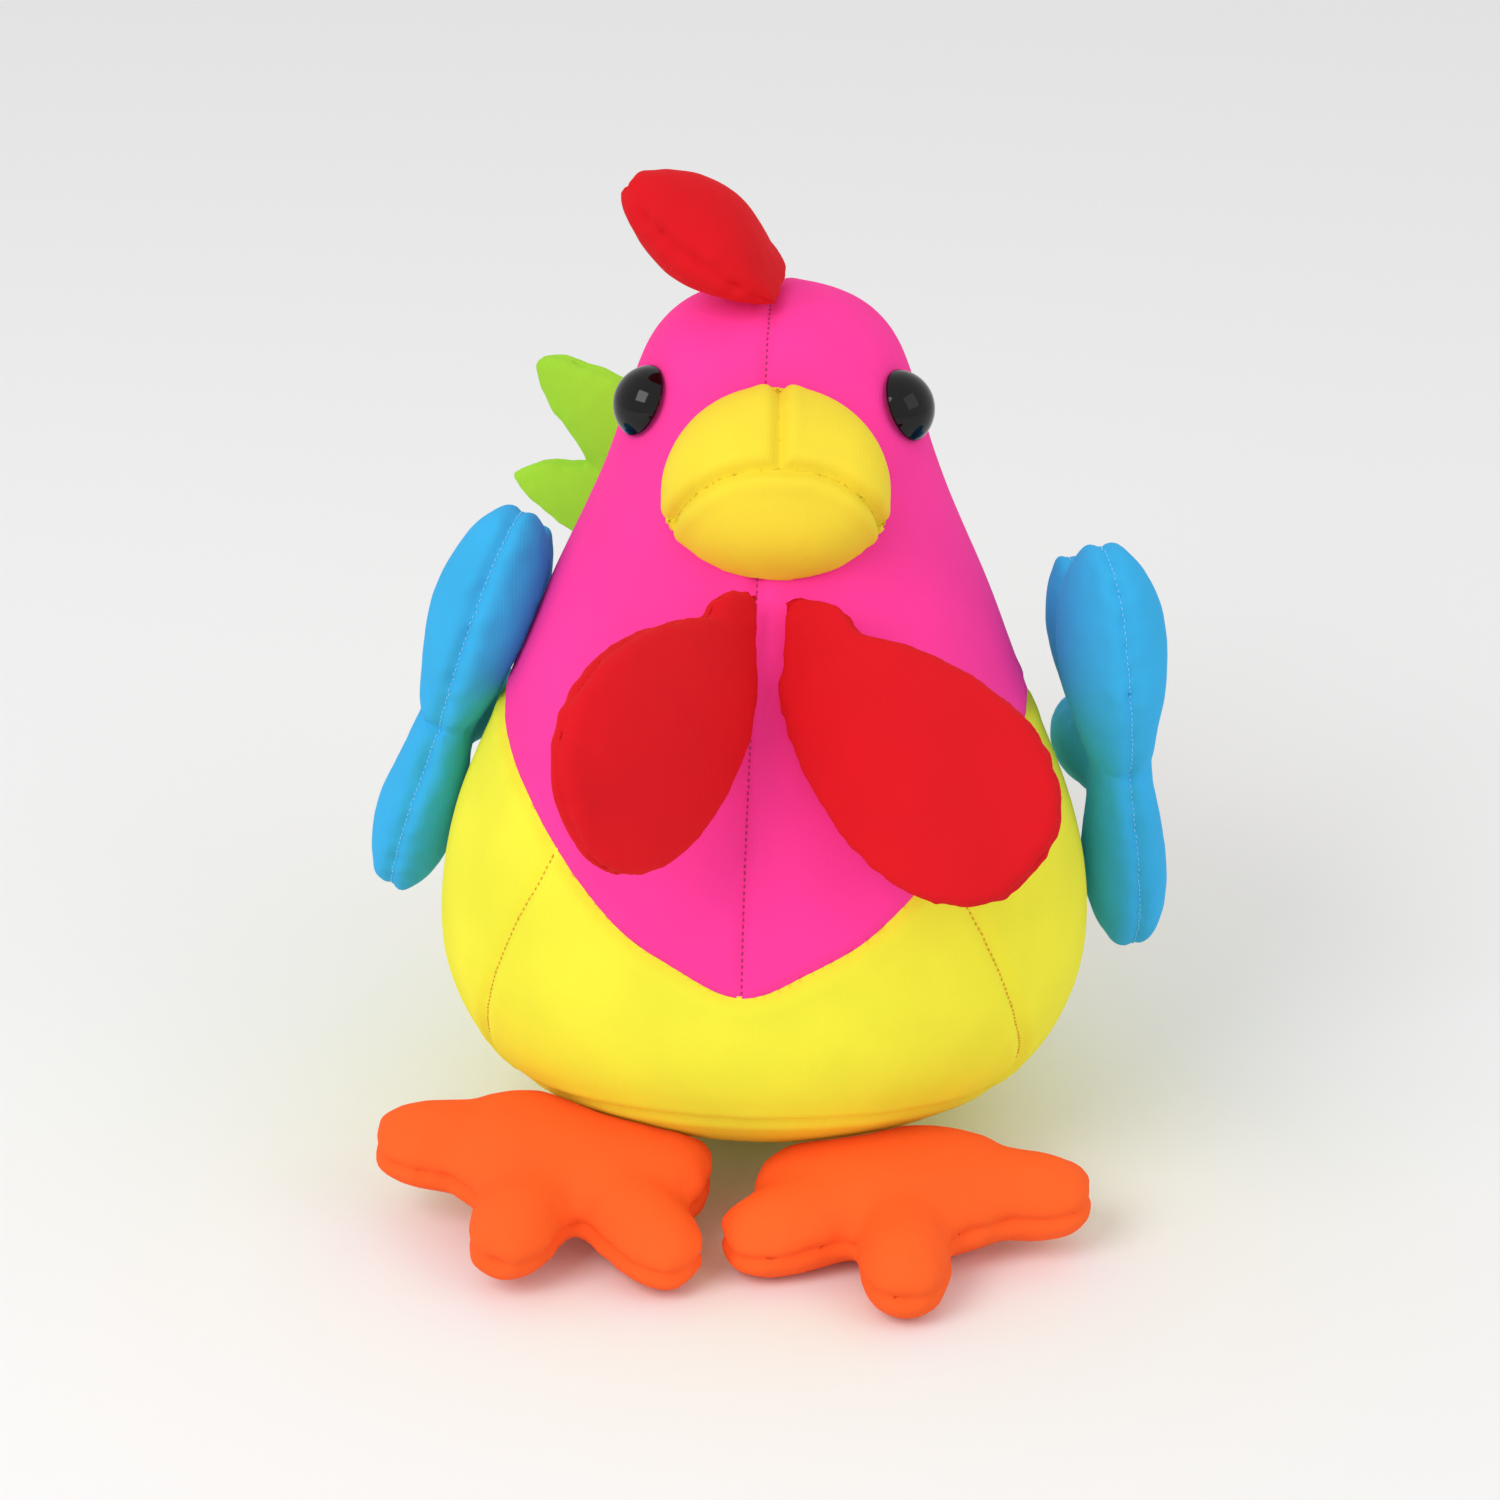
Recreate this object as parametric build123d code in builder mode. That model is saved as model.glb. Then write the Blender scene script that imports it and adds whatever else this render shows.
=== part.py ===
from build123d import *
from math import asin, cos, degrees, radians, sin
import os

# Stuffed bead-filled chicken. Millimetres, front faces -Y, +Z up, standing on z = 0.
# The origin is the middle of the flat patch that the bead-filled base rests on.
# "right" and "left" are the +X and -X sides.

# ---- general sizes -------------------------------------------------------------
SKIN = 1.0             # stretch fabric with its seam allowance
FILL_GAP = 0.15        # between a skin and its filling
LIMB_GAP = 0.6         # between a moving limb and the body skin
FAR = 160.0            # reach of the seam cutters, beyond every surface

# ---- body: a pear of revolution, leaning back ----------------------------------
LEAN = 15.0            # degrees that the body axis leans back
BODY_RISE = 15.5       # height of the axis foot above the floor
BODY_AHEAD = 45.0      # the axis foot is this far in front of the resting patch
BODY_PROFILE = [       # (radius, height along the axis), foot to crown
    (28, -9.0), (46, -5.5), (63, 0.0), (80, 8.5), (92.3, 18.5), (101.4, 32),
    (107.7, 50), (108.5, 75), (103.7, 100), (94.1, 125), (83.3, 150), (73.3, 175),
    (61.8, 200), (51.8, 225), (45.6, 245), (39.8, 258), (30.0, 268), (17.0, 273.6),
    (7.0, 275.3),
]
BASE_SEAM = 12.0       # height of the round base seam
SIDE_SEAM = 142.0      # height of the hood seam at the sides and the back
HOOD_EDGE = [          # (x, height along the axis), front middle to side
    (0, 57.7), (20, 65.5), (36, 74), (50, 86), (63, 100), (75, 115), (84, 128), (87.2, 136), (88.2, 142),
]
BELLY_SEAM = [         # (x, height along the axis), top to bottom
    (58, 112), (67, 89), (75, 74), (81, 60), (85, 48), (87.6, 36), (87.6, 26), (81, 18), (70, 11),
]

lean = radians(LEAN)
BODY = Plane(origin=(0, -BODY_AHEAD, BODY_RISE), x_dir=(1, 0, 0), z_dir=(0, sin(lean), cos(lean)))
FRONT = Plane(origin=BODY.origin, x_dir=(1, 0, 0), z_dir=BODY.y_dir * -1)

# ---- beak ----------------------------------------------------------------------
BEAK_TURN = 5.0        # degrees the face is turned towards +X
BEAK_HEIGHT = 213.0    # along the body axis
BEAK_PITCH = 20.0      # degrees that the beak points up from square to the axis
BEAK_SECTIONS = [(-16, 72, 64), (0, 72, 64), (9, 68, 61), (17, 60, 53), (23, 47, 41), (27, 31, 26), (29, 10, 8)]
MOUTH = [(-60, -18), (-37, -13.5), (-20, -4.5), (0, -1.5), (20, -4.5), (37, -13.5), (60, -18)]

# ---- eyes: plastic safety eyes with a stem and a locking washer ------------------
EYE_D = 24.0
EYE_DOME = 9.0
EYE_EDGE = 0.8         # height of the rim under the dome
EYE_R = ((EYE_D / 2) ** 2 + (EYE_DOME - EYE_EDGE) ** 2) / (2 * (EYE_DOME - EYE_EDGE))
EYE_RIM = degrees(asin(EYE_D / 2 / EYE_R))
EYE_AXIAL = 236.5
EYE_TURNS = {"right": 64.5, "left": -57.0}
EYE_TILT = 19.5        # degrees that the head surface slopes back at the eyes
EYE_SEAT = 49.0        # distance of the eye's flat back from the body axis
STEM_D = 4.0
STEM_L = 11.0
WASHER_D = 16.0
WASHER_T = 2.0

# ---- wattles: two leaves hinged like pages on the front seam --------------------
WATTLE_ROOT = (4.5, -64.7, 209.5)
WATTLE_LINE = (0, -0.625, -0.780)
WATTLE_OUT = (0, -0.780, 0.625)
WATTLE_OFFSET = 3.5    # the hinge line stands this far off the chest
WATTLE_SWING = {"right": 21.0, "left": 57.0}
WATTLE_SIDE = 2.4      # each page starts this far to its own side of the seam
WATTLE_LOBES = [       # (start, heading, sections) in the page plane
    ((23, 7), 48, [
        (0, 24, 5), (12, 38, 13), (30, 54, 20), (55, 66, 26),
        (77, 67, 24), (92, 58, 18), (103, 43, 12), (110, 16, 5),
    ]),
    ((24, 0), 90, [(1, 42, 4), (8, 43, 6), (18, 38, 9), (28, 24, 5)]),
]

# ---- comb: one stuffed leaf along the crown --------------------------------------
COMB_ROOT = (5.0, 2.0, 285.0)
COMB_SLOPE = 6.0       # degrees that the root line rises to the back
COMB_FLOP = 55.0       # degrees that the comb has fallen towards -X
COMB_LEAF = [
    ((2, 1.5), 92, [(0, 34, 5), (14, 45, 20), (31, 46, 32), (46, 36, 27), (57, 20, 15), (62, 6, 5)]),
]

# ---- wings: four feathers each ---------------------------------------------------
WING_CENTRE = {"right": (120.5, -17.0, 127.5), "left": (-108.5, -20.0, 139.0)}
WING_LEAN = {"right": 6.0, "left": 19.0}
WING_TOE = {"right": 15.0, "left": 9.0}
WING_FEATHERS = [
    ((6, 0), 86, [(0, 30, 21), (18, 38, 30), (38, 45, 37), (56, 42, 34), (70, 30, 23), (77, 10, 8)]),
    ((10, 2), 44, [(0, 26, 16), (20, 32, 24), (44, 34, 27), (60, 28, 22), (70, 17, 13), (75, 6, 5)]),
    ((10, -2), -12, [(0, 26, 16), (20, 31, 22), (42, 32, 25), (58, 27, 20), (68, 16, 12), (73, 6, 5)]),
    ((6, 0), -80, [(0, 28, 20), (18, 33, 24), (38, 41, 29), (54, 38, 27), (67, 27, 19), (74, 10, 7)]),
]

# ---- tail: three feathers in a fan -------------------------------------------------
TAIL_ROOT = (-1.0, 79.5, 157.0)
TAIL_SWING = 66.0      # degrees from straight back towards -X
TAIL_FEATHERS = [
    ((6, 6), 31, [(0, 22, 8), (20, 32, 18), (50, 37, 22), (78, 33, 19), (98, 21, 12), (110, 6, 5)]),
    ((6, 0), 9, [(0, 22, 8), (20, 30, 18), (50, 33, 21), (78, 29, 18), (96, 18, 11), (106, 6, 5)]),
    ((6, -6), -17, [(0, 22, 8), (20, 30, 18), (44, 32, 21), (62, 26, 17), (76, 15, 10), (84, 6, 5)]),
]

# ---- feet: a palm and three toes each, with the seam plane through the toe tips ---
FOOT_CENTRE = {"right": (47.0, -112.0, 17.6), "left": (-56.0, -111.0, 24.0)}
FOOT_SLOPE = {"right": (0.053, 0.097), "left": (-0.085, 0.20)}
PALM = {                # sections across the foot, from its -X side
    "right": [(-44, 16, 14), (-34, 38, 27), (-14, 53, 35), (8, 55, 37), (28, 46, 33), (41, 22, 18)],
    "left": [(-42, 20, 18), (-31, 44, 32), (-10, 55, 37), (10, 54, 36), (30, 46, 32), (44, 20, 16)],
}
TOE = [(0, 34, 30), (20, 31, 29), (-12, 28, 28), (-3.5, 21, 21), (0, 7, 7)]
TOES = {                # (start, heading, length) in the seam plane
    "right": [((0, -4), 205, 58), ((4, -4), 273, 53), ((8, 2), 353, 57)],
    "left": [((2, -4), 314, 56), ((-6, -4), 253, 49), ((-6, 2), 182, 60)],
}


def toe_sections(length):
    """Sections of a toe: two counted from the palm, three back from the tip."""
    root = TOE[:2]
    tip = [(length + reach, width, thickness) for reach, width, thickness in TOE[2:]]
    return root + tip


def curve_inset(profile, depth):
    """Profile points moved inward by depth along the normal of their neighbours' chord."""
    low, high = profile[0], profile[-1]
    ends = [(low[0] - 5, low[1] - 0.4)] + profile + [(high[0] - 5, high[1] + 0.3)]
    moved = []
    for before, point, after in zip(ends, profile, ends[2:]):
        chord = Vector(after[0] - before[0], after[1] - before[1]).normalized()
        moved.append((point[0] - depth * chord.Y, point[1] + depth * chord.X))
    return moved


def body_volume(depth, mode=Mode.ADD):
    """The pear, depth millimetres inside its outer surface and inside the floor."""
    points = curve_inset(BODY_PROFILE, depth)
    with BuildSketch(FRONT) as profile:
        with BuildLine():
            Spline(*points)
            Polyline(points[-1], (0, points[-1][1]), (0, points[0][1]), points[0])
        make_face()
    revolve(profile.sketch, axis=Axis(BODY.origin, BODY.z_dir), mode=mode)


def body_solid(depth):
    """The pear as a part of its own, cut flat where it rests on the floor."""
    with BuildPart() as pear:
        body_volume(depth)
        split(bisect_by=Plane.XY.offset(max(depth, 0)), keep=Keep.TOP)
    return pear.part


def on_axis(turn, height, radius):
    """World point at an angle round the body axis, 0 at the front and positive to +X."""
    angle = radians(turn)
    return BODY.from_local_coords((radius * sin(angle), -radius * cos(angle), height))


def facing(turn, height, radius, tilt):
    """Plane square to the body surface at that point, its local Y pointing up."""
    angle = radians(turn)
    rise = radians(tilt)
    out = Vector(cos(rise) * sin(angle), -cos(rise) * cos(angle), sin(rise))
    side = Vector(cos(angle), sin(angle), 0)
    world_out = BODY.from_local_coords(out) - BODY.origin
    world_side = BODY.from_local_coords(side) - BODY.origin
    return Plane(origin=on_axis(turn, height, radius), x_dir=world_side, z_dir=world_out)


def lobe(seam, start, heading, sections, depth=0.0):
    """Loft a stuffed lobe through ellipses along a line that lies in the seam plane."""
    angle = radians(heading)
    along = seam.from_local_coords((cos(angle), sin(angle), 0)) - seam.origin
    across = seam.from_local_coords((-sin(angle), cos(angle), 0)) - seam.origin
    first = seam.from_local_coords(start)
    rings = []
    for index, (reach, width, thickness) in enumerate(sections):
        if index == 0:
            reach += depth
        if index == len(sections) - 1:
            reach -= depth
        with BuildSketch(Plane(origin=first + along * reach, x_dir=across, z_dir=along)) as ring:
            Ellipse(width / 2 - depth, thickness / 2 - depth)
        rings.append(ring.sketch)
    loft(rings)


def save(piece, name):
    """Label a finished piece and write it."""
    piece.part.label = name
    export_step(piece.part, f"parts/{name}.step")
    print(f"{name:28s} {len(piece.part.solids())} solid  {piece.part.volume:10.0f} mm3")


def save_stuffed(outer, inner, core, seam, names):
    """Two sewn panels, either side of the seam plane, and their filling."""
    upper_name, under_name, filling_name = names
    with BuildPart() as upper:
        add(outer)
        add(inner, mode=Mode.SUBTRACT)
        split(bisect_by=seam, keep=Keep.TOP)
    save(upper, upper_name)
    with BuildPart() as under:
        add(outer)
        add(inner, mode=Mode.SUBTRACT)
        split(bisect_by=seam, keep=Keep.BOTTOM)
    save(under, under_name)
    with BuildPart() as filling:
        add(core)
    save(filling, filling_name)


# ---- body panels -------------------------------------------------------------------
def hood_region():
    """Everything above the hood edge: a rounded V in front, level behind."""
    left_edge = [(-x, z) for x, z in reversed(HOOD_EDGE[1:])]
    side = HOOD_EDGE[-1][0]
    with BuildPart() as region:
        with BuildSketch(FRONT):
            with BuildLine():
                Spline(*left_edge, *HOOD_EDGE)
                Polyline((side, SIDE_SEAM), (FAR, SIDE_SEAM), (FAR, 2 * FAR), (-FAR, 2 * FAR), (-FAR, SIDE_SEAM), (-side, SIDE_SEAM))
            make_face()
        extrude(amount=FAR)
        with BuildSketch(FRONT):
            with Locations((0, SIDE_SEAM + FAR / 2)):
                Rectangle(2 * FAR, FAR)
        extrude(amount=-FAR)
    return region.part


def belly_region():
    """Everything between the two curved belly seams, in front of the body axis."""
    right = BELLY_SEAM
    left = [(-x, z) for x, z in reversed(BELLY_SEAM)]
    with BuildPart() as region:
        with BuildSketch(FRONT):
            with BuildLine():
                Spline(*right)
                Polyline(right[-1], (right[-1][0], -FAR / 2), (left[0][0], -FAR / 2), left[0])
                Spline(*left)
                Polyline(left[-1], (left[-1][0], FAR), (right[0][0], FAR), right[0])
            make_face()
        extrude(amount=FAR)
    return region.part


def base_region():
    """Everything below the round base seam."""
    with BuildPart() as region:
        with BuildSketch(BODY.offset(BASE_SEAM)):
            Rectangle(2 * FAR, 2 * FAR)
        extrude(amount=-FAR)
    return region.part


def half_space(positive_x):
    """Cutter for one side of the body's middle plane."""
    with BuildPart() as region:
        with BuildSketch(Plane.YZ):
            Rectangle(8 * FAR, 8 * FAR)
        extrude(amount=FAR if positive_x else -FAR)
    return region.part


def save_body(skin, stems, sides):
    """The six fabric panels of the body."""
    hood = hood_region()
    belly = belly_region()
    base = base_region()
    for side, half in sides.items():
        with BuildPart() as head_panel:
            add(skin)
            add(hood, mode=Mode.INTERSECT)
            add(half, mode=Mode.INTERSECT)
            add(stems, mode=Mode.SUBTRACT)
        save(head_panel, f"head_panel_{side}")
        with BuildPart() as side_panel:
            add(skin)
            add(hood, mode=Mode.SUBTRACT)
            add(base, mode=Mode.SUBTRACT)
            add(belly, mode=Mode.SUBTRACT)
            add(half, mode=Mode.INTERSECT)
        save(side_panel, f"side_panel_{side}")
    with BuildPart() as belly_panel:
        add(skin)
        add(belly, mode=Mode.INTERSECT)
        add(hood, mode=Mode.SUBTRACT)
        add(base, mode=Mode.SUBTRACT)
    save(belly_panel, "belly_panel")
    with BuildPart() as base_panel:
        add(skin)
        add(base, mode=Mode.INTERSECT)
    save(base_panel, "base_panel")


# ---- eyes --------------------------------------------------------------------------
def eye_plane(side):
    return facing(EYE_TURNS[side], EYE_AXIAL, EYE_SEAT, EYE_TILT)


def eye_stems():
    """Both stems, which pierce the head panels."""
    with BuildPart() as stems:
        for side in EYE_TURNS:
            with BuildSketch(eye_plane(side).offset(EYE_DOME / 2)):
                Circle(STEM_D / 2)
            extrude(amount=-STEM_L - EYE_DOME / 2)
    return stems.part


def save_eye(side):
    """A domed safety eye pressed on the head, and the washer that locks it inside."""
    plane = eye_plane(side)
    profile = Plane(origin=plane.origin, x_dir=plane.x_dir, z_dir=plane.x_dir.cross(plane.z_dir))
    with BuildPart() as eye:
        with BuildSketch(profile):
            with BuildLine():
                Polyline((0, EYE_DOME), (0, -STEM_L), (STEM_D / 2, -STEM_L), (STEM_D / 2, 0.1))
                Polyline((STEM_D / 2, 0.1), (EYE_D / 2, 0.1), (EYE_D / 2, EYE_EDGE))
                CenterArc((0, EYE_DOME - EYE_R), EYE_R, 90 - EYE_RIM, EYE_RIM)
            make_face()
        revolve(axis=Axis(plane.origin, plane.z_dir))
    save(eye, f"eye_{side}")
    with BuildPart() as washer:
        with BuildSketch(plane.offset(-SKIN - 2.5)):
            Circle(WASHER_D / 2)
            Circle(STEM_D / 2, mode=Mode.SUBTRACT)
        extrude(amount=-WASHER_T)
    save(washer, f"eye_washer_{side}")


# ---- beak --------------------------------------------------------------------------
def beak_plane():
    return facing(BEAK_TURN, BEAK_HEIGHT, 55.5, BEAK_PITCH)


def beak_volume(plane, depth):
    """Dome of the beak as a stack of ellipses from inside the head to the tip."""
    rings = []
    for reach, width, height in BEAK_SECTIONS:
        tip = depth if reach > 0 else 0
        with BuildSketch(plane.offset(reach - tip)) as ring:
            Ellipse(width / 2 - depth, height / 2 - depth)
        rings.append(ring.sketch)
    loft(rings)


def mouth_region(plane):
    """Everything under the arched mouth line."""
    with BuildPart() as region:
        with BuildSketch(plane.offset(-FAR / 2)):
            with BuildLine():
                Spline(*MOUTH)
                Polyline(MOUTH[-1], (MOUTH[-1][0], -FAR), (MOUTH[0][0], -FAR), MOUTH[0])
            make_face()
        extrude(amount=FAR)
    return region.part


def save_beak(pear):
    """Two upper panels, one lower panel and the filling, sewn over the hood."""
    plane = beak_plane()
    mouth = mouth_region(plane)
    centre = Plane(origin=plane.origin, x_dir=plane.y_dir, z_dir=plane.x_dir)
    with BuildPart() as outer:
        beak_volume(plane, 0)
        add(pear, mode=Mode.SUBTRACT)
    with BuildPart() as inner:
        beak_volume(plane, SKIN)
    with BuildPart() as core:
        beak_volume(plane, SKIN + FILL_GAP)
        add(pear, mode=Mode.SUBTRACT)
    with BuildPart() as upper:
        add(outer.part)
        add(inner.part, mode=Mode.SUBTRACT)
        add(mouth, mode=Mode.SUBTRACT)
    for side, keep in (("right", Keep.TOP), ("left", Keep.BOTTOM)):
        with BuildPart() as half:
            add(upper.part)
            split(bisect_by=centre, keep=keep)
        save(half, f"beak_upper_{side}")
    with BuildPart() as lower:
        add(outer.part)
        add(inner.part, mode=Mode.SUBTRACT)
        add(mouth, mode=Mode.INTERSECT)
    save(lower, "beak_lower")
    save(core, "beak_filling")


# ---- limbs -------------------------------------------------------------------------
def stuffed(seam, lobes, depth):
    """Union of the lobes, depth millimetres inside their outer surface."""
    with BuildPart() as shape:
        for start, heading, sections in lobes:
            lobe(seam, start, heading, sections, depth)
    return shape.part


def save_limb(seam, lobes, names, clear=None):
    """A limb, hollowed where it would press into the clear volume grown by each skin."""
    shells = []
    for depth in (0, SKIN, SKIN + FILL_GAP):
        with BuildPart() as shape:
            add(stuffed(seam, lobes, depth))
            if clear:
                add(body_solid(-clear - depth), mode=Mode.SUBTRACT)
        shells.append(shape.part)
    save_stuffed(*shells, seam, names)


def wattle_plane(side):
    """Page plane of a wattle: local X down the seam, local Y out along the page."""
    sign = 1 if side == "right" else -1
    swing = radians(WATTLE_SWING[side])
    line = Vector(*WATTLE_LINE).normalized()
    out = Vector(*WATTLE_OUT).normalized()
    page = Vector(sign * cos(swing), 0, 0) + out * sin(swing)
    root = Vector(*WATTLE_ROOT) + out * WATTLE_OFFSET + Vector(sign * WATTLE_SIDE, 0, 0)
    return Plane(origin=root, x_dir=line, z_dir=line.cross(page))


def comb_plane():
    """Comb plane: local X to the back, local Y from the crown to the points."""
    flop = radians(COMB_FLOP)
    slope = radians(COMB_SLOPE)
    back = Vector(0, cos(slope), sin(slope))
    up = Vector(-sin(flop), -cos(flop) * sin(slope), cos(flop) * cos(slope))
    return Plane(origin=COMB_ROOT, x_dir=back, z_dir=back.cross(up))


def wing_plane(side):
    """Wing plane: local X to the back, local Y up the wing."""
    sign = 1 if side == "right" else -1
    tilt = radians(WING_LEAN[side])
    toe = radians(WING_TOE[side])
    up = Vector(-sign * sin(tilt), 0, cos(tilt))
    back = Vector(-sign * sin(toe) * cos(tilt), cos(toe), -sin(toe) * sin(tilt))
    return Plane(origin=WING_CENTRE[side], x_dir=back, z_dir=back.cross(up))


def tail_plane():
    """Tail plane: local X out of the back, local Y up."""
    swing = radians(TAIL_SWING)
    out = Vector(-sin(swing), cos(swing), 0)
    return Plane(origin=TAIL_ROOT, x_dir=out, z_dir=out.cross(Vector(0, 0, 1)))


def foot_plane(side):
    """Seam plane of a foot, which slopes down from the body to the toe tips."""
    slope_x, slope_y = FOOT_SLOPE[side]
    normal = Vector(-slope_x, -slope_y, 1)
    return Plane(origin=FOOT_CENTRE[side], x_dir=(1, 0, slope_x), z_dir=normal)


def foot_lobes(side):
    """Palm across the foot, then three toes with rounded tips."""
    toes = [(start, heading, toe_sections(length)) for start, heading, length in TOES[side]]
    return [((0, 0), 0, PALM[side])] + toes


def foot_volume(side, depth, clear):
    """A foot cut flat on the floor and hollowed where the belly rests on it."""
    lobes = foot_lobes(side)
    with BuildPart() as foot:
        add(stuffed(foot_plane(side), lobes, depth))
        add(clear, mode=Mode.SUBTRACT)
        split(bisect_by=Plane.XY.offset(depth), keep=Keep.TOP)
    return foot.part


def save_foot(side):
    """Upper and sole panels and the filling of one foot."""
    depths = (0, SKIN, SKIN + FILL_GAP)
    outer, inner, core = [foot_volume(side, depth, body_solid(-LIMB_GAP - depth)) for depth in depths]
    names = (f"foot_upper_{side}", f"foot_sole_{side}", f"foot_filling_{side}")
    save_stuffed(outer, inner, core, foot_plane(side), names)


def main():
    os.makedirs("parts", exist_ok=True)
    pear = body_solid(0)
    stems = eye_stems()
    sides = {"right": half_space(True), "left": half_space(False)}
    with BuildPart() as skin:
        add(pear)
        add(body_solid(SKIN), mode=Mode.SUBTRACT)
    save_body(skin.part, stems, sides)
    with BuildPart() as filling:
        add(body_solid(SKIN + FILL_GAP))
    save(filling, "body_filling")
    for side in sides:
        save_eye(side)
    save_beak(pear)
    for side in sides:
        near, far = ("front", "back") if side == "right" else ("back", "front")
        names = (f"wattle_{near}_{side}", f"wattle_{far}_{side}", f"wattle_filling_{side}")
        save_limb(wattle_plane(side), WATTLE_LOBES, names)
    save_limb(comb_plane(), COMB_LEAF, ("comb_panel_right", "comb_panel_left", "comb_filling"))
    for side in sides:
        near, far = ("outer", "inner") if side == "right" else ("inner", "outer")
        names = (f"wing_{near}_{side}", f"wing_{far}_{side}", f"wing_filling_{side}")
        save_limb(wing_plane(side), WING_FEATHERS, names, LIMB_GAP)
    save_limb(tail_plane(), TAIL_FEATHERS, ("tail_panel_right", "tail_panel_left", "tail_filling"))
    for side in sides:
        save_foot(side)


main()
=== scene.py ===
import math

import bmesh
import bpy
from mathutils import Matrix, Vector, noise
from mathutils.bvhtree import BVHTree


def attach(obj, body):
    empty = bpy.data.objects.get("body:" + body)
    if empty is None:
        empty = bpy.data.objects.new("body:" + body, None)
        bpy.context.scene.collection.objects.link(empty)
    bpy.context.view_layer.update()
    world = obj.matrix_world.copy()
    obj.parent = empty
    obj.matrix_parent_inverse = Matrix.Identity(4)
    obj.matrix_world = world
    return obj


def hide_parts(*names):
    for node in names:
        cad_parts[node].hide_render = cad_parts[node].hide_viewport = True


bl_info = {
    "name": "Stuffed chicken",
    "version": (1, 0, 0),
    "blender": (4, 5, 0),
    "location": "View3D > Sidebar > Chicken",
    "description": "Sews the skins, limbs, eyes and stitching of a bead-filled fabric chicken onto its frame",
    "category": "Object",
}

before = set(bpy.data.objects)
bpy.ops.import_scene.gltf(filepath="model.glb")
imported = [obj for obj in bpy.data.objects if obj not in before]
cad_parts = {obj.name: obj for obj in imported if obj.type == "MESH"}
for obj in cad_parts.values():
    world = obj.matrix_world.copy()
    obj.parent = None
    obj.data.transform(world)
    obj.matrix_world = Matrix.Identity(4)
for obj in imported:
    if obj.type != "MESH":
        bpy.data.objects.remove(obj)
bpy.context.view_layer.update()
SIDES = ("right", "left")
BODY_PANELS = (
    "head_panel_right", "head_panel_left", "side_panel_right", "side_panel_left",
    "belly_panel", "base_panel",
)
BEAK_PANELS = ("beak_upper_right", "beak_upper_left", "beak_lower")
SKIN = 0.001           # thickness of the knit with its seam allowance
REACH = 0.003          # how far outside the filling the skin is looked for
COVERED = 2.2 * REACH  # a point further than this from every panel is bare
NEARBY = 0.015         # seams further away than this don't shape the skin
BARE = -1              # label of a point that no panel covers

# the shape that sewing gives the skin beside a seam
SHOULDER_SHARE = 0.25  # height of the shoulder beside the valley, as a share of the valley's depth
SHOULDER_OUT = 2.6     # seam widths from the thread to the top of the shoulder
SHOULDER_SPREAD = 1.4  # half width of the shoulder, in seam widths
GATHER_FADE = 0.007    # how far from the thread the gathers reach
GATHER_GRAIN = 170.0   # gathers per metre of the noise
SWELL_GRAIN = 38.0     # broad uneven stuffing, per metre
SWELL_SHARE = 0.6      # its height as a share of the gathers'

# the stage, in metres, watts and degrees
AIM = Vector((-0.005, -0.025, 0.134))
CAMERA_TURN = 4.0
CAMERA_RISE = 25.0
CAMERA_DISTANCE = 1.3
LENS = 93.6            # millimetres, on a 36 mm frame
WORLD_LIGHT = 0.80
SOFTBOXES = (          # name, place, size, power
    ("key_softbox", Vector((-0.95, -1.35, 1.55)), 1.1, 17.0),
    ("fill_softbox", Vector((1.5, -0.9, 1.3)), 1.3, 4.0),
)
FLOOR_SIZE = 14.0

seam_lines = {}        # (panel, panel) -> runs of (place, normal) along the seam between them


# ---- what a user may change ------------------------------------------------------
class ChickenSizes(bpy.types.PropertyGroup):
    body_grid: bpy.props.FloatProperty(
        name="Body grid", description="Mesh spacing of the body skin before it is divided",
        default=0.0032, min=0.002, unit="LENGTH")
    limb_grid: bpy.props.FloatProperty(
        name="Limb grid", description="Mesh spacing of the limbs before they are divided",
        default=0.0030, min=0.002, unit="LENGTH")
    seam_depth: bpy.props.FloatProperty(
        name="Seam depth", description="How far the sewing pulls a seam into the stuffing",
        default=0.0014, unit="LENGTH")
    seam_width: bpy.props.FloatProperty(
        name="Seam width", description="Half width of the valley along a seam",
        default=0.0020, unit="LENGTH")
    stitch_pitch: bpy.props.FloatProperty(
        name="Stitch pitch", description="Distance from one stitch to the next",
        default=0.0021, unit="LENGTH")
    stitch_radius: bpy.props.FloatProperty(
        name="Thread radius", description="Radius of the sewing thread",
        default=0.00022, unit="LENGTH")


def colour_property(name, text):
    return bpy.props.StringProperty(
        name=name, description=f"sRGB colour of the {name.lower()}", default=text)


class ChickenColours(bpy.types.PropertyGroup):
    hood: colour_property("Hood knit", "#FF3C9E")
    belly: colour_property("Belly knit", "#F2EC3C")
    beak: colour_property("Beak knit", "#F6DC3A")
    red: colour_property("Comb and wattle knit", "#D8101C")
    wing: colour_property("Wing knit", "#38AEE6")
    tail: colour_property("Tail knit", "#9ED636")
    foot: colour_property("Foot knit", "#FF6426")
    floor: colour_property("Studio floor", "#F0F0F0")


# ---- materials ---------------------------------------------------------------------
def linear(text):
    """An sRGB hex colour as linear RGBA."""
    parts = [int(text[i:i + 2], 16) / 255 for i in (1, 3, 5)]
    light = [c / 12.92 if c <= 0.04045 else ((c + 0.055) / 1.055) ** 2.4 for c in parts]
    return (*light, 1.0)


def shaded(text, share):
    """A hex colour darkened to a share of its light."""
    parts = [int(int(text[i:i + 2], 16) * share) for i in (1, 3, 5)]
    return "#" + "".join(f"{c:02X}" for c in parts)


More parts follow.
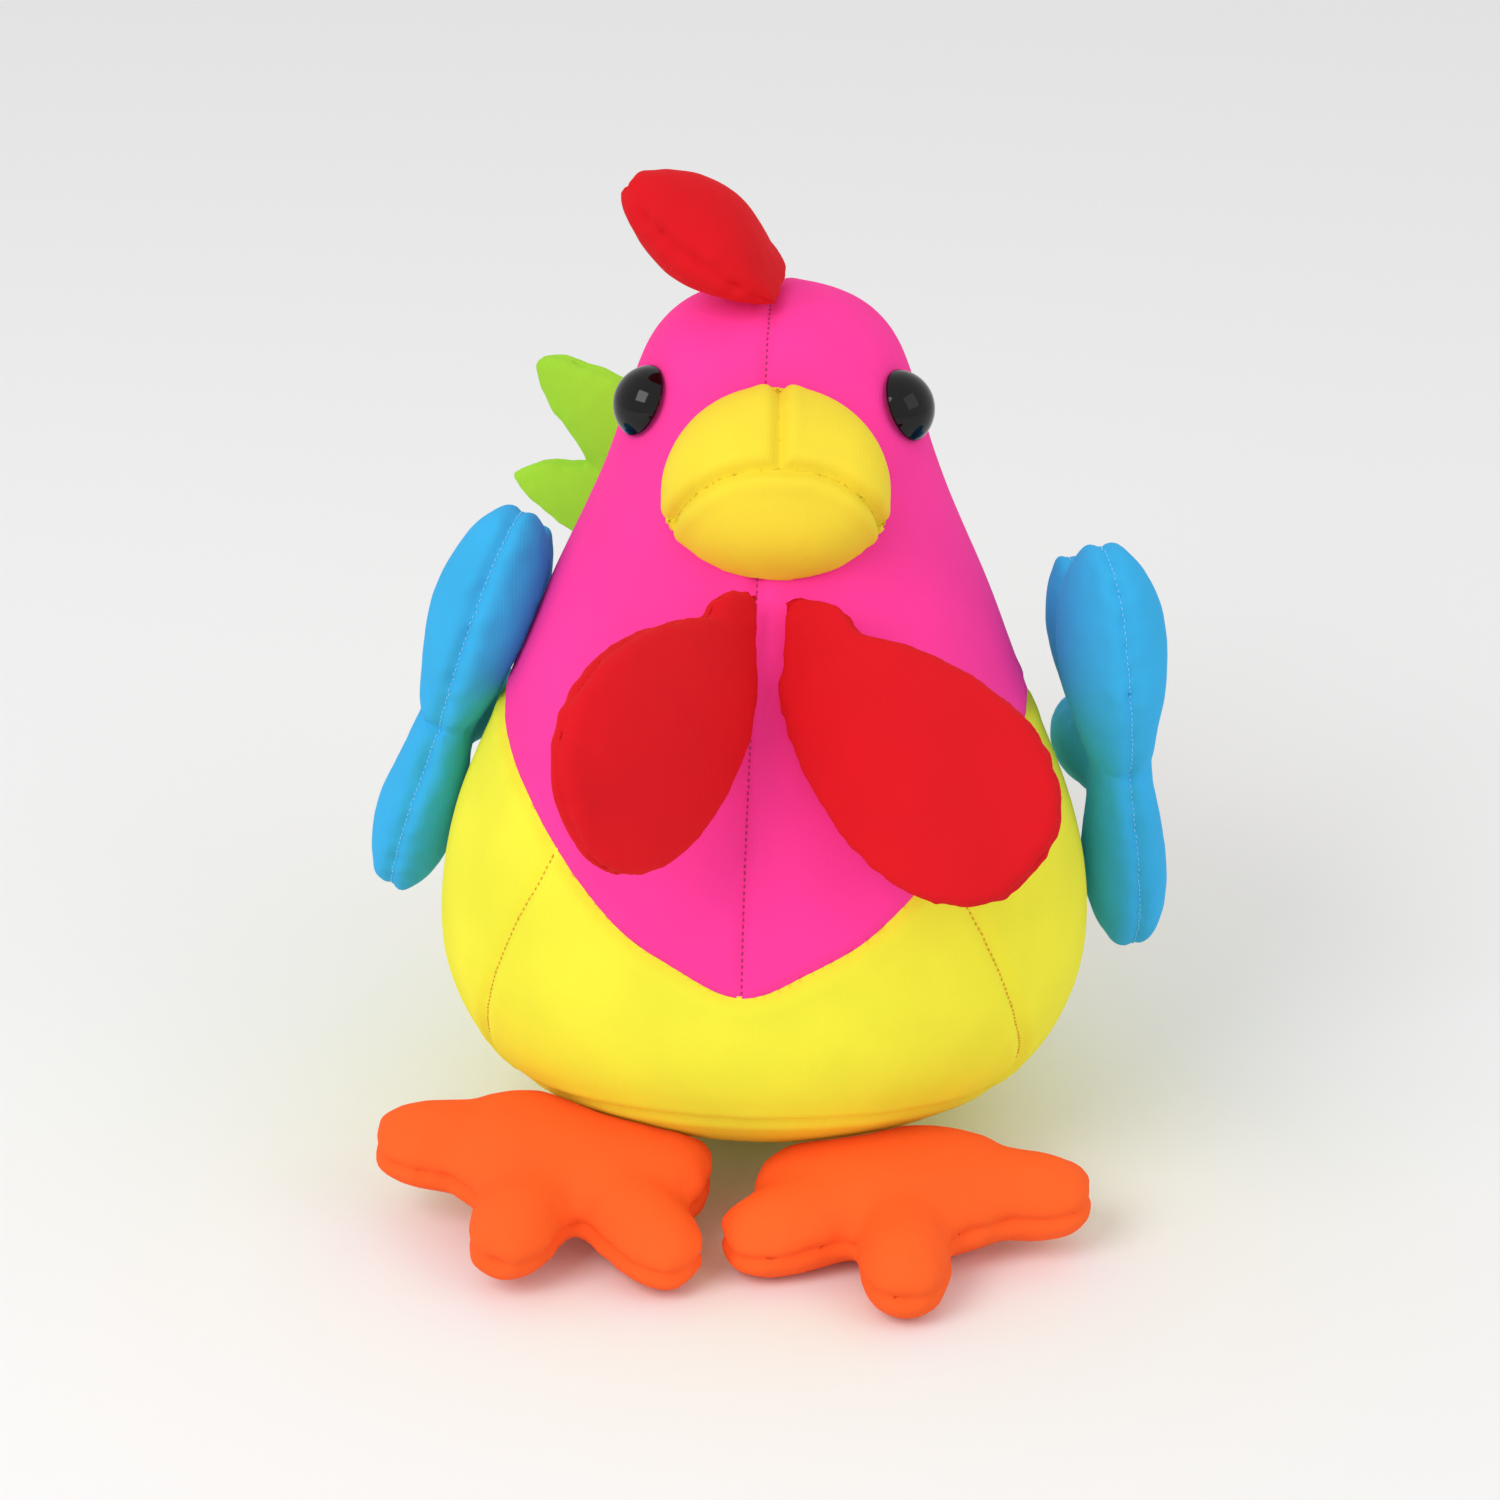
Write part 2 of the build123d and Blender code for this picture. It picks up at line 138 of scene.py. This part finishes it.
def add_node(tree, kind, inputs=None, **settings):
    """One node with its settings. An input given as (node, socket) is linked, any other is a value."""
    node = tree.nodes.new(kind)
    for key, value in settings.items():
        setattr(node, key, value)
    for key, value in (inputs or {}).items():
        if isinstance(value, tuple) and isinstance(value[0], bpy.types.Node):
            tree.links.new(value[0].outputs[value[1]], node.inputs[key])
        else:
            node.inputs[key].default_value = value
    return node


def empty_material(name):
    material = bpy.data.materials.new(name)
    material.use_nodes = True
    material.node_tree.nodes.clear()
    return material, material.node_tree


def brushed_knit(name, colour, painted_glow=0.0):
    """Brushed polyester and elastane jersey: matt, with a soft pale bloom at grazing angles,
    fine upright ribs, a slightly uneven dye and a faint painted glow in its own colour."""
    material, tree = empty_material(name)
    place = add_node(tree, "ShaderNodeTexCoord")
    dye = add_node(tree, "ShaderNodeTexNoise", {"Vector": (place, "Object"), "Scale": 22.0, "Detail": 2.0})
    tone = add_node(tree, "ShaderNodeValToRGB", {"Fac": (dye, "Fac")})
    tone.color_ramp.elements[0].position = 0.3
    tone.color_ramp.elements[0].color = linear(shaded(colour, 0.95))
    tone.color_ramp.elements[1].position = 0.7
    tone.color_ramp.elements[1].color = linear(colour)
    # real ribs are 0.5 mm apart; drawn 1.1 mm apart so that they show. A band repeats every 0.314 / scale
    ribs = add_node(tree, "ShaderNodeTexWave", {
        "Vector": (place, "Object"), "Scale": 0.314 / 0.0011, "Distortion": 1.2, "Detail": 2.0,
    }, bands_direction="X")
    # the raised nap, in tufts about 0.8 mm across
    nap = add_node(tree, "ShaderNodeTexNoise", {"Vector": (place, "Object"), "Scale": 1250.0, "Detail": 3.0})
    rib_bump = add_node(tree, "ShaderNodeBump", {
        "Height": (ribs, "Fac"), "Strength": 0.10, "Distance": 0.0002})
    nap_bump = add_node(tree, "ShaderNodeBump", {
        "Height": (nap, "Fac"), "Normal": (rib_bump, "Normal"), "Strength": 0.16, "Distance": 0.0003})
    # painted glow: an emission in the knit's own colour makes it brighter than the lamps alone light it
    cloth = add_node(tree, "ShaderNodeBsdfPrincipled", {
        "Base Color": (tone, "Color"), "Normal": (nap_bump, "Normal"), "Roughness": 0.88,
        "Specular IOR Level": 0.18, "Sheen Weight": 0.18, "Sheen Roughness": 0.45,
        "Sheen Tint": linear(colour), "Emission Color": linear(colour), "Emission Strength": painted_glow,
    })
    add_node(tree, "ShaderNodeOutputMaterial", {"Surface": (cloth, "BSDF")})
    return material


def spun_thread(name, colour):
    """Spun polyester sewing thread: a dull two-ply twist."""
    material, tree = empty_material(name)
    place = add_node(tree, "ShaderNodeTexCoord")
    twist = add_node(tree, "ShaderNodeTexWave", {
        "Vector": (place, "Object"), "Scale": 0.314 / 0.0006, "Distortion": 1.0}, bands_direction="DIAGONAL")
    bump = add_node(tree, "ShaderNodeBump", {"Height": (twist, "Fac"), "Strength": 0.3, "Distance": 0.0001})
    thread = add_node(tree, "ShaderNodeBsdfPrincipled", {
        "Base Color": linear(colour), "Normal": (bump, "Normal"), "Roughness": 0.7})
    add_node(tree, "ShaderNodeOutputMaterial", {"Surface": (thread, "BSDF")})
    return material


def polished_acrylic(name, colour):
    """Injection-moulded black acrylic, polished: a deep gloss with the faintest orange peel."""
    material, tree = empty_material(name)
    place = add_node(tree, "ShaderNodeTexCoord")
    peel = add_node(tree, "ShaderNodeTexNoise", {"Vector": (place, "Object"), "Scale": 160.0, "Detail": 1.0})
    bump = add_node(tree, "ShaderNodeBump", {"Height": (peel, "Fac"), "Strength": 0.03, "Distance": 0.0002})
    gloss = add_node(tree, "ShaderNodeBsdfPrincipled", {
        "Base Color": linear(colour), "Normal": (bump, "Normal"), "Roughness": 0.06, "IOR": 1.49,
        "Specular IOR Level": 0.32})
    add_node(tree, "ShaderNodeOutputMaterial", {"Surface": (gloss, "BSDF")})
    return material


def moulded_plastic(name, colour):
    """Moulded polypropylene: pale, waxy and half matt, with a fine mould grain."""
    material, tree = empty_material(name)
    place = add_node(tree, "ShaderNodeTexCoord")
    grain = add_node(tree, "ShaderNodeTexNoise", {
        "Vector": (place, "Object"), "Scale": 2000.0, "Detail": 2.0})
    bump = add_node(tree, "ShaderNodeBump", {"Height": (grain, "Fac"), "Strength": 0.2, "Distance": 0.0001})
    wax = add_node(tree, "ShaderNodeBsdfPrincipled", {
        "Base Color": linear(colour), "Normal": (bump, "Normal"), "Roughness": 0.45})
    add_node(tree, "ShaderNodeOutputMaterial", {"Surface": (wax, "BSDF")})
    return material


def paper_floor(name, colour):
    """Seamless background paper: flat, pale and matt, with a faint tooth."""
    material, tree = empty_material(name)
    place = add_node(tree, "ShaderNodeTexCoord")
    tooth = add_node(tree, "ShaderNodeTexNoise", {"Vector": (place, "Object"), "Scale": 400.0})
    bump = add_node(tree, "ShaderNodeBump", {"Height": (tooth, "Fac"), "Strength": 0.04, "Distance": 0.0002})
    paper = add_node(tree, "ShaderNodeBsdfPrincipled", {
        "Base Color": linear(colour), "Normal": (bump, "Normal"), "Roughness": 0.95,
        "Specular IOR Level": 0.1})
    add_node(tree, "ShaderNodeOutputMaterial", {"Surface": (paper, "BSDF")})
    return material


# ---- sewing --------------------------------------------------------------------------
def deselect():
    for thing in bpy.context.selected_objects:
        thing.select_set(False)


def make_active(piece):
    deselect()
    piece.select_set(True)
    bpy.context.view_layer.objects.active = piece


def apply_modifier(piece, kind, **settings):
    """Adds one modifier with its settings and applies it."""
    make_active(piece)
    modifier = piece.modifiers.new(kind.title(), kind)
    for key, value in settings.items():
        setattr(modifier, key, value)
    bpy.ops.object.modifier_apply(modifier=modifier.name)


def node_tree_of(node):
    """The surface of a CAD node, ready for nearest-point questions."""
    return BVHTree.FromObject(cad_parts[node], bpy.context.evaluated_depsgraph_get())


def merged_copy(name, node):
    """A new object with a CAD node's mesh, its loose triangles joined up."""
    piece = bpy.data.objects.new(name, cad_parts[node].data.copy())
    piece.data.materials.clear()
    bpy.context.scene.collection.objects.link(piece)
    work = bmesh.new()
    work.from_mesh(piece.data)
    bmesh.ops.remove_doubles(work, verts=work.verts, dist=1e-6)
    work.to_mesh(piece.data)
    work.free()
    return piece


def lay_on_skin(piece, trees):
    """Moves each point out from the stuffing to the outer face of the nearest panel."""
    # every place is worked out before any point moves, because a move makes all the normals stale
    outside = [vertex.co + vertex.normal * REACH for vertex in piece.data.vertices]
    for vertex, place in zip(piece.data.vertices, outside):
        found = [tree.find_nearest(place, COVERED) for tree in trees]
        hits = [hit for hit in found if hit[0] is not None]
        if hits:
            vertex.co = min(hits, key=lambda hit: hit[3])[0]
    piece.data.update()


def stuffed_skin(name, filling, panels, grid, rounds):
    """An even quad mesh on the outside of the panels that cover a filling."""
    piece = merged_copy(name, filling)
    make_active(piece)
    piece.data.remesh_voxel_size = grid
    piece.data.remesh_voxel_adaptivity = 0.0
    bpy.ops.object.voxel_remesh()
    trees = [node_tree_of(panel) for panel in panels]
    lay_on_skin(piece, trees)
    apply_modifier(piece, "SMOOTH", factor=0.5, iterations=rounds)
    apply_modifier(piece, "SUBSURF", levels=1, render_levels=1)
    return piece, trees


def label_points(work, trees):
    """For each point its own panel, and its distance to every panel that is nearby."""
    labels, gaps = {}, {}
    for vertex in work.verts:
        found = [tree.find_nearest(vertex.co, NEARBY)[3] for tree in trees]
        distances = [NEARBY if gap is None else gap for gap in found]
        gaps[vertex] = distances
        nearest = min(range(len(trees)), key=distances.__getitem__)
        labels[vertex] = nearest if distances[nearest] < COVERED else BARE
    return labels, gaps


def cut_seams(work, labels, gaps):
    """Splits the edges and faces where one panel meets the next. Returns the points on the seams."""
    seam = {}
    for edge in list(work.edges):
        first, second = edge.verts
        mine, other = labels[first], labels[second]
        if mine == other or BARE in (mine, other):
            continue
        to_other, to_mine = gaps[first][other], gaps[second][mine]
        share = min(max(to_other / max(to_other + to_mine, 1e-9), 0.04), 0.96)
        point = bmesh.utils.edge_split(edge, first, share)[1]
        seam[point] = (min(mine, other), max(mine, other))
    for face in list(work.faces):
        found = [v for v in face.verts if v in seam]
        if len(found) == 2 and not any(found[1] in e.verts for e in found[0].link_edges):
            bmesh.utils.face_split(face, found[0], found[1])
    return seam


def trace_seams(work, seam, panels):
    """Joins the points of each seam into runs, kept for the stitching."""
    after = {}
    for edge in work.edges:
        first, second = edge.verts
        if seam.get(first) is not None and seam.get(first) == seam.get(second):
            after.setdefault(first, []).append(second)
            after.setdefault(second, []).append(first)
    used = set()
    for start in sorted(after, key=lambda v: (len(after[v]), v.co.z, v.co.y)):
        if start in used:
            continue
        run, here = [start], start
        used.add(start)
        while True:
            steps = [v for v in after[here] if v not in used]
            if not steps:
                break
            here = steps[0]
            used.add(here)
            run.append(here)
        if len(run) > 4:
            pair = tuple(panels[i] for i in seam[start])
            seam_lines.setdefault(pair, []).append([(v.co.copy(), v.normal.copy()) for v in run])


def pull_in(work, seam, labels, gaps, depth, width, pucker):
    """Pulls the skin in along its seams, with small gathers that fade away from the thread."""
    work.normal_update()
    moves = {}
    for vertex in work.verts:
        if vertex in seam:
            away = 0.0
        elif labels[vertex] == BARE:
            continue
        else:
            away = min(d for i, d in enumerate(gaps[vertex]) if i != labels[vertex])
        valley = depth * math.exp(-(away / width) ** 2)
        beside = (away - SHOULDER_OUT * width) / (SHOULDER_SPREAD * width)
        shoulder = SHOULDER_SHARE * depth * math.exp(-beside ** 2)
        gather = pucker * math.exp(-away / GATHER_FADE) * noise.noise(vertex.co * GATHER_GRAIN)
        swell = SWELL_SHARE * pucker * noise.noise(vertex.co * SWELL_GRAIN)
        moves[vertex] = vertex.normal * (shoulder - valley + gather + swell)
    for vertex, move in moves.items():
        vertex.co += move
        vertex.co.z = max(vertex.co.z, 0.0)


def sew(piece, trees, panels, pucker, deeper=1.0):
    """Marks out the seams on a stuffed skin and pulls them in. Returns the panel of each face."""
    sizes = bpy.context.scene.chicken_sizes
    work = bmesh.new()
    work.from_mesh(piece.data)
    labels, gaps = label_points(work, trees)
    seam = cut_seams(work, labels, gaps)
    pull_in(work, seam, labels, gaps, sizes.seam_depth * deeper, sizes.seam_width, pucker)
    work.normal_update()
    trace_seams(work, seam, panels)
    owners = []
    for face in work.faces:
        known = [labels[v] for v in face.verts if v in labels]
        owners.append(max(set(known), key=known.count) if known else BARE)
    work.to_mesh(piece.data)
    work.free()
    return owners


def panel_piece(name, source, owners, wanted):
    """One panel cut out of the sewn skin, given its thickness inwards."""
    work = bmesh.new()
    work.from_mesh(source.data)
    work.faces.ensure_lookup_table()
    unwanted = [face for face, owner in zip(work.faces, owners) if owner != wanted]
    bmesh.ops.delete(work, geom=unwanted, context="FACES")
    mesh = bpy.data.meshes.new(name)
    work.to_mesh(mesh)
    work.free()
    piece = bpy.data.objects.new(name, mesh)
    bpy.context.scene.collection.objects.link(piece)
    apply_modifier(piece, "SOLIDIFY", thickness=SKIN, offset=-1.0)
    return piece


def finish_piece(piece, material, body, replaced):
    """Gives a finished piece its material and its body, and hides the CAD nodes it stands for."""
    piece.data.materials.clear()
    piece.data.materials.append(material)
    make_active(piece)
    bpy.ops.object.shade_smooth_by_angle(angle=math.radians(60))
    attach(piece, body)
    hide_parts(*replaced)


def sewn_limb(body, panels, filling, material, rounds, pucker, deeper=1.0):
    """One stuffed limb: its two panels sewn round its filling."""
    grid = bpy.context.scene.chicken_sizes.limb_grid
    piece, trees = stuffed_skin(f"{body}_stuffed", filling, panels, grid, rounds)
    sew(piece, trees, panels, pucker, deeper)
    finish_piece(piece, material, body, (*panels, filling))
    return piece


# ---- one operator for each piece or group of like pieces -------------------------------
class CHICKEN_OT_body(bpy.types.Operator):
    """Sews the six body panels round the bead filling"""
    bl_idname = "chicken.body"
    bl_label = "Body panels"

    def execute(self, context):
        colours = context.scene.chicken_colours
        pink = brushed_knit("pink_brushed_knit", colours.hood, 0.04)
        yellow = brushed_knit("yellow_brushed_knit", colours.belly, 0.03)
        grid = context.scene.chicken_sizes.body_grid
        whole, trees = stuffed_skin("body_whole", "body_filling", BODY_PANELS, grid, 2)
        owners = sew(whole, trees, BODY_PANELS, 0.0003)
        for index, panel in enumerate(BODY_PANELS):
            piece = panel_piece(f"{panel}_sewn", whole, owners, index)
            hood = panel.startswith("head")
            replaced = (panel, "body_filling") if panel == "base_panel" else (panel,)
            finish_piece(piece, pink if hood else yellow, "body",
                         replaced)
        bpy.data.objects.remove(whole)
        return {"FINISHED"}


class CHICKEN_OT_beak(bpy.types.Operator):
    """Sews the two upper beak panels and the lower one round the beak filling"""
    bl_idname = "chicken.beak"
    bl_label = "Beak"

    def execute(self, context):
        yellow = brushed_knit("beak_brushed_knit", context.scene.chicken_colours.beak, 0.0)
        grid = context.scene.chicken_sizes.limb_grid * 0.7
        whole, trees = stuffed_skin("beak_whole", "beak_filling", BEAK_PANELS, grid, 3)
        owners = sew(whole, trees, BEAK_PANELS, 0.0003, deeper=1.9)
        for index, panel in enumerate(BEAK_PANELS):
            piece = panel_piece(f"{panel}_sewn", whole, owners, index)
            replaced = (panel, "beak_filling") if panel == "beak_lower" else (panel,)
            finish_piece(piece, yellow, "body", replaced)
        bpy.data.objects.remove(whole)
        return {"FINISHED"}


class CHICKEN_OT_eyes(bpy.types.Operator):
    """Polishes the two safety eyes and finishes their washers"""
    bl_idname = "chicken.eyes"
    bl_label = "Eyes"

    def execute(self, context):
        gloss = polished_acrylic("black_polished_acrylic", "#060606")
        washer = moulded_plastic("white_moulded_polypropylene", "#E8E8E4")
        for side in SIDES:
            for node, material in ((f"eye_{side}", gloss), (f"eye_washer_{side}", washer)):
                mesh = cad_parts[node].data
                mesh.materials.clear()
                mesh.materials.append(material)
        return {"FINISHED"}


class CHICKEN_OT_comb_and_wattles(bpy.types.Operator):
    """Sews the comb leaf and the two wattles"""
    bl_idname = "chicken.comb_and_wattles"
    bl_label = "Comb and wattles"

    def execute(self, context):
        red = brushed_knit("red_brushed_knit", context.scene.chicken_colours.red, 0.03)
        sewn_limb("comb", ("comb_panel_right", "comb_panel_left"), "comb_filling", red,
                  3, 0.0016)
        for side in SIDES:
            sewn_limb(f"wattle_{side}", (f"wattle_front_{side}", f"wattle_back_{side}"),
                      f"wattle_filling_{side}", red, 4, 0.0010)
        return {"FINISHED"}


class CHICKEN_OT_wings(bpy.types.Operator):
    """Sews the two four-feathered wings"""
    bl_idname = "chicken.wings"
    bl_label = "Wings"

    def execute(self, context):
        blue = brushed_knit("blue_brushed_knit", context.scene.chicken_colours.wing, 0.05)
        for side in SIDES:
            sewn_limb(f"wing_{side}", (f"wing_outer_{side}", f"wing_inner_{side}"),
                      f"wing_filling_{side}", blue, 10, 0.0012)
        return {"FINISHED"}


class CHICKEN_OT_tail(bpy.types.Operator):
    """Sews the three-feathered tail"""
    bl_idname = "chicken.tail"
    bl_label = "Tail"

    def execute(self, context):
        lime = brushed_knit("lime_brushed_knit", context.scene.chicken_colours.tail, 0.06)
        sewn_limb("tail", ("tail_panel_right", "tail_panel_left"), "tail_filling", lime,
                  8, 0.0012)
        return {"FINISHED"}


class CHICKEN_OT_feet(bpy.types.Operator):
    """Sews the two three-toed feet"""
    bl_idname = "chicken.feet"
    bl_label = "Feet"

    def execute(self, context):
        orange = brushed_knit("orange_brushed_knit", context.scene.chicken_colours.foot, 0.04)
        for side in SIDES:
            sewn_limb(f"foot_{side}", (f"foot_upper_{side}", f"foot_sole_{side}"),
                      f"foot_filling_{side}", orange, 12, 0.0012, deeper=1.2)
        return {"FINISHED"}


def stitch(work, place, along, outward, length, radius):
    """One thread dash: a six-sided stick with drawn-in ends."""
    across = along.cross(outward).normalized()
    up = across.cross(along).normalized()
    rings = []
    for step, girth in ((-0.5, 0.35), (-0.3, 1.0), (0.3, 1.0), (0.5, 0.35)):
        centre = place + along * (length * step) - up * (radius * 1.6 * (abs(step) > 0.4))
        ring = []
        for corner in range(6):
            angle = math.tau * corner / 6
            spoke = across * math.cos(angle) + up * math.sin(angle)
            ring.append(work.verts.new(centre + spoke * radius * girth))
        rings.append(ring)
    for near, far in zip(rings, rings[1:]):
        for corner in range(6):
            following = (corner + 1) % 6
            work.faces.new((near[corner], near[following], far[following], far[corner]))
    work.faces.new(rings[0][::-1])
    work.faces.new(rings[-1])


def stitched_seam(name, pairs, material, body):
    """The stitches along the seams between pairs of panels, as one piece."""
    sizes = bpy.context.scene.chicken_sizes
    work = bmesh.new()
    for pair in pairs:
        for run in seam_lines.get(pair, []):
            travelled, due = 0.0, sizes.stitch_pitch / 2
            for (here, normal), (there, _) in zip(run, run[1:]):
                span = (there - here).length
                while span > 1e-6 and due <= travelled + span:
                    along = (there - here) / span
                    place = here + along * (due - travelled) + normal * sizes.stitch_radius
                    stitch(work, place, along, normal, sizes.stitch_pitch * 0.6, sizes.stitch_radius)
                    due += sizes.stitch_pitch
                travelled += span
    if not work.verts:
        work.free()
        raise RuntimeError(f"{name}: no seam was found between {pairs}")
    bmesh.ops.recalc_face_normals(work, faces=work.faces)
    mesh = bpy.data.meshes.new(name)
    work.to_mesh(mesh)
    work.free()
    piece = bpy.data.objects.new(name, mesh)
    bpy.context.scene.collection.objects.link(piece)
    mesh.materials.append(material)
    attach(piece, body)


class CHICKEN_OT_stitching(bpy.types.Operator):
    """Puts the visible stitches along the hood, belly and wing seams"""
    bl_idname = "chicken.stitching"
    bl_label = "Stitching"

    def execute(self, context):
        colours = context.scene.chicken_colours
        stitched_seam("hood_stitches", [("head_panel_right", "head_panel_left")],
                      spun_thread("deep_pink_thread", shaded(colours.hood, 0.62)), "body")
        stitched_seam("belly_stitches", [(f"side_panel_{side}", "belly_panel") for side in SIDES],
                      spun_thread("orange_thread", "#E8A030"), "body")
        pale = spun_thread("pale_blue_thread", "#7CCBEF")
        for side in SIDES:
            stitched_seam(f"wing_stitches_{side}", [(f"wing_outer_{side}", f"wing_inner_{side}")],
                          pale, f"wing_{side}")
        return {"FINISHED"}


class CHICKEN_OT_stage(bpy.types.Operator):
    """Lays the paper floor and sets the lights and the camera"""
    bl_idname = "chicken.stage"
    bl_label = "Stage"

    def execute(self, context):
        scene = context.scene
        deselect()
        bpy.ops.mesh.primitive_plane_add(size=FLOOR_SIZE, location=(0, 0, 0))
        floor = context.object
        floor.name = "paper_floor"
        floor.data.materials.append(paper_floor("seamless_paper", scene.chicken_colours.floor))
        world = bpy.data.worlds.new("studio")
        world.use_nodes = True
        world.node_tree.nodes["Background"].inputs["Color"].default_value = (1.0, 1.0, 1.0, 1.0)
        world.node_tree.nodes["Background"].inputs["Strength"].default_value = WORLD_LIGHT
        scene.world = world
        for name, place, size, power in SOFTBOXES:
            light = bpy.data.lights.new(name, "AREA")
            light.size = size
            light.energy = power
            lamp = bpy.data.objects.new(name, light)
            lamp.location = place
            lamp.rotation_euler = (AIM - place).to_track_quat("-Z", "Y").to_euler()
            scene.collection.objects.link(lamp)
        turn, rise = math.radians(CAMERA_TURN), math.radians(CAMERA_RISE)
        back = Vector((math.sin(turn) * math.cos(rise), -math.cos(turn) * math.cos(rise), math.sin(rise)))
        data = bpy.data.cameras.new("camera")
        data.sensor_width = 36.0
        data.lens = LENS
        data.clip_start = 0.01
        camera = bpy.data.objects.new("camera", data)
        camera.location = AIM + back * CAMERA_DISTANCE
        camera.rotation_euler = (-back).to_track_quat("-Z", "Y").to_euler()
        scene.collection.objects.link(camera)
        scene.camera = camera
        scene.view_settings.view_transform = "Standard"
        return {"FINISHED"}


STEPS = (
    CHICKEN_OT_body, CHICKEN_OT_beak, CHICKEN_OT_eyes, CHICKEN_OT_comb_and_wattles, CHICKEN_OT_wings,
    CHICKEN_OT_tail, CHICKEN_OT_feet, CHICKEN_OT_stitching, CHICKEN_OT_stage,
)


class CHICKEN_PT_sidebar(bpy.types.Panel):
    """Lists the making steps in order"""
    bl_idname = "CHICKEN_PT_sidebar"
    bl_label = "Stuffed chicken"
    bl_space_type = "VIEW_3D"
    bl_region_type = "UI"
    bl_category = "Chicken"

    def draw(self, context):
        for group in (context.scene.chicken_sizes, context.scene.chicken_colours):
            for key in group.__annotations__:
                self.layout.prop(group, key)
        for step in STEPS:
            self.layout.operator(step.bl_idname)


CLASSES = (ChickenSizes, ChickenColours, *STEPS, CHICKEN_PT_sidebar)


def register():
    for item in CLASSES:
        bpy.utils.register_class(item)
    bpy.types.Scene.chicken_sizes = bpy.props.PointerProperty(type=ChickenSizes)
    bpy.types.Scene.chicken_colours = bpy.props.PointerProperty(type=ChickenColours)


def unregister():
    del bpy.types.Scene.chicken_colours
    del bpy.types.Scene.chicken_sizes
    for item in reversed(CLASSES):
        bpy.utils.unregister_class(item)


def main():
    register()
    for step in STEPS:
        group, name = step.bl_idname.split(".")
        getattr(getattr(bpy.ops, group), name)()


if __name__ == "__main__":
    main()
